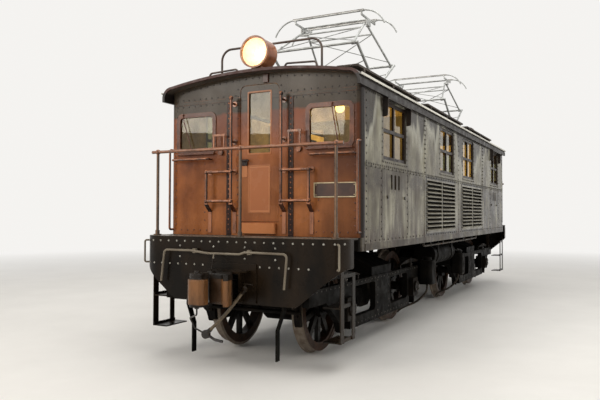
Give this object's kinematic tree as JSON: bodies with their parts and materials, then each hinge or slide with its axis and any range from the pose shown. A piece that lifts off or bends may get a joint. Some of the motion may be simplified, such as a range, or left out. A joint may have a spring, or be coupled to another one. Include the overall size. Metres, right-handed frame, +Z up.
{
  "type": "electric locomotive",
  "caption": "Box-cab electric locomotive with louvred sides, end decks with railings, knuckle couplers, spoked wheels on bogies and diamond pantographs.",
  "frame": {"origin": "under the middle of the locomotive, on the plane that the wheel flanges stand on", "axes": "+Y along the track, +X to the long side that the picture shows, +Z up; the pictured end is at -Y"},
  "size_m": [2.78, 11.38, 4.6428],
  "materials": {
    "body_brown": "gloss brown paint, aged",
    "cast_iron": "painted casting",
    "coupler_steel": "brown cast steel",
    "frame_black": "black-brown chassis paint",
    "hose_rubber": "brown aged rubber",
    "interior": "pale green cab paint",
    "lamp_copper": "copper-brown drum",
    "lamp_glass": "headlamp glass",
    "machine_grey": "grey paint",
    "panto_silver": "light grey paint",
    "porcelain": "brown glazed porcelain",
    "rail_black": "black gloss paint",
    "rail_brown": "brown paint worn to copper tones",
    "roof_brown": "dull dark brown paint",
    "sash_brown": "dark brown sashes",
    "walk_boards": "dark weathered boards",
    "wheel_steel": "oily dark steel, bright treads",
    "window_glass": "clear flat glass"
  },
  "bodies": {
    "body": {"awnings": "roof_brown", "cab_fittings": "interior", "end_rails": "rail_brown", "end_wall_a": "body_brown", "end_wall_b": "body_brown", "end_window_rings": "sash_brown", "headlight_glass": "lamp_glass", "headlights": "lamp_copper", "lamp_brackets": "rail_brown", "louvres": "body_brown", "machinery": "machine_grey", "panto_bases": "panto_silver", "panto_insulators": "porcelain", "partitions": "interior", "reservoirs": "frame_black", "roof": "roof_brown", "roof_hoops": "rail_brown", "sashes": "sash_brown", "side_wall_left": "body_brown", "side_wall_right": "body_brown", "underframe": "frame_black", "walkways": "walk_boards", "window_glass": "window_glass"},
    "bogie_a": {"axleboxes_a": "cast_iron", "bogie_frame_a": "frame_black", "brake_gear_a": "cast_iron", "brake_hose_a": "hose_rubber", "coupler_a": "coupler_steel", "end_deck_a": "frame_black", "hose_coupling_a": "cast_iron", "railing_a": "rail_black", "side_frames_a": "frame_black", "traction_motors_a": "cast_iron"},
    "bogie_b": {"axleboxes_b": "cast_iron", "bogie_frame_b": "frame_black", "brake_gear_b": "cast_iron", "coupler_b": "coupler_steel", "end_deck_b": "frame_black", "railing_b": "rail_black", "side_frames_b": "frame_black", "traction_motors_b": "cast_iron"},
    "door_a": {"door_a": "body_brown", "door_glass_a": "window_glass"},
    "door_b": {"door_b": "body_brown", "door_glass_b": "window_glass"},
    "panto_head_a": {"panto_head_a": "panto_silver"},
    "panto_head_b": {"panto_head_b": "panto_silver"},
    "panto_lower_front_a": {"panto_lower_front_a": "panto_silver"},
    "panto_lower_front_b": {"panto_lower_front_b": "panto_silver"},
    "panto_lower_rear_a": {"panto_lower_rear_a": "panto_silver"},
    "panto_lower_rear_b": {"panto_lower_rear_b": "panto_silver"},
    "panto_upper_front_a": {"panto_upper_front_a": "panto_silver"},
    "panto_upper_front_b": {"panto_upper_front_b": "panto_silver"},
    "panto_upper_rear_a": {"panto_upper_rear_a": "panto_silver"},
    "panto_upper_rear_b": {"panto_upper_rear_b": "panto_silver"},
    "wheelset_1": {"wheelset_1": "wheel_steel"},
    "wheelset_2": {"wheelset_2": "wheel_steel"},
    "wheelset_3": {"wheelset_3": "wheel_steel"},
    "wheelset_4": {"wheelset_4": "wheel_steel"}
  },
  "joints": [
    {"name": "bogie_a_swivel", "type": "hinge", "parent": "body", "child": "bogie_a", "pos_m": [0, -2.865, 1.2], "axis": [0, 0, 1], "range_deg": [-2.5, 2.5]},
    {"name": "bogie_b_swivel", "type": "hinge", "parent": "body", "child": "bogie_b", "pos_m": [0, 2.865, 1.2], "axis": [0, 0, 1], "range_deg": [-2.5, 2.5]},
    {"name": "wheelset_1_turn", "type": "hinge", "parent": "bogie_a", "child": "wheelset_1", "pos_m": [0, -4.165, 0.563], "axis": [1, 0, 0], "continuous": true},
    {"name": "wheelset_2_turn", "type": "hinge", "parent": "bogie_a", "child": "wheelset_2", "pos_m": [0, -1.565, 0.563], "axis": [1, 0, 0], "continuous": true},
    {"name": "wheelset_3_turn", "type": "hinge", "parent": "bogie_b", "child": "wheelset_3", "pos_m": [0, 1.565, 0.563], "axis": [1, 0, 0], "continuous": true},
    {"name": "wheelset_4_turn", "type": "hinge", "parent": "bogie_b", "child": "wheelset_4", "pos_m": [0, 4.165, 0.563], "axis": [1, 0, 0], "continuous": true},
    {"name": "door_a_hinge", "type": "hinge", "parent": "body", "child": "door_a", "pos_m": [0.281, -4.557, 2.4], "axis": [0, 0, -1], "range_deg": [0, 85]},
    {"name": "door_b_hinge", "type": "hinge", "parent": "body", "child": "door_b", "pos_m": [-0.281, 4.557, 2.4], "axis": [0, 0, -1], "range_deg": [0, 85]},
    {"name": "panto_a_raise", "type": "hinge", "parent": "body", "child": "panto_lower_front_a", "pos_m": [0, -2.44, 3.56], "axis": [-1, 0, 0], "range_deg": [-28, 27]},
    {"name": "panto_a_front_knuckle", "type": "hinge", "parent": "panto_lower_front_a", "child": "panto_upper_front_a", "pos_m": [0, -3.16021, 4.03], "axis": [1, 0, 0], "range_deg": [-56, 54]},
    {"name": "panto_a_head_level", "type": "hinge", "parent": "panto_upper_front_a", "child": "panto_head_a", "pos_m": [0, -2.44, 4.5], "axis": [-1, 0, 0], "range_deg": [-28, 27]},
    {"name": "panto_a_rear_raise", "type": "hinge", "parent": "body", "child": "panto_lower_rear_a", "pos_m": [0, -2.32, 3.56], "axis": [1, 0, 0], "range_deg": [-28, 27]},
    {"name": "panto_a_rear_knuckle", "type": "hinge", "parent": "panto_lower_rear_a", "child": "panto_upper_rear_a", "pos_m": [0, -1.59979, 4.03], "axis": [-1, 0, 0], "range_deg": [-56, 54]},
    {"name": "panto_b_raise", "type": "hinge", "parent": "body", "child": "panto_lower_front_b", "pos_m": [0, 2.44, 3.56], "axis": [1, 0, 0], "range_deg": [-28, 27]},
    {"name": "panto_b_front_knuckle", "type": "hinge", "parent": "panto_lower_front_b", "child": "panto_upper_front_b", "pos_m": [0, 3.16021, 4.03], "axis": [-1, 0, 0], "range_deg": [-56, 54]},
    {"name": "panto_b_head_level", "type": "hinge", "parent": "panto_upper_front_b", "child": "panto_head_b", "pos_m": [0, 2.44, 4.5], "axis": [1, 0, 0], "range_deg": [-28, 27]},
    {"name": "panto_b_rear_raise", "type": "hinge", "parent": "body", "child": "panto_lower_rear_b", "pos_m": [0, 2.32, 3.56], "axis": [-1, 0, 0], "range_deg": [-28, 27]},
    {"name": "panto_b_rear_knuckle", "type": "hinge", "parent": "panto_lower_rear_b", "child": "panto_upper_rear_b", "pos_m": [0, 1.59979, 4.03], "axis": [1, 0, 0], "range_deg": [-56, 54]}
  ],
  "couplings": [
    {"joint": "bogie_b_swivel", "follows": "bogie_a_swivel", "ratio": -1},
    {"joint": "panto_a_front_knuckle", "follows": "panto_a_raise", "ratio": 2},
    {"joint": "panto_a_head_level", "follows": "panto_a_raise", "ratio": 1},
    {"joint": "panto_a_rear_raise", "follows": "panto_a_raise", "ratio": 1},
    {"joint": "panto_a_rear_knuckle", "follows": "panto_a_raise", "ratio": 2},
    {"joint": "panto_b_front_knuckle", "follows": "panto_b_raise", "ratio": 2},
    {"joint": "panto_b_head_level", "follows": "panto_b_raise", "ratio": 1},
    {"joint": "panto_b_rear_raise", "follows": "panto_b_raise", "ratio": 1},
    {"joint": "panto_b_rear_knuckle", "follows": "panto_b_raise", "ratio": 2}
  ]
}
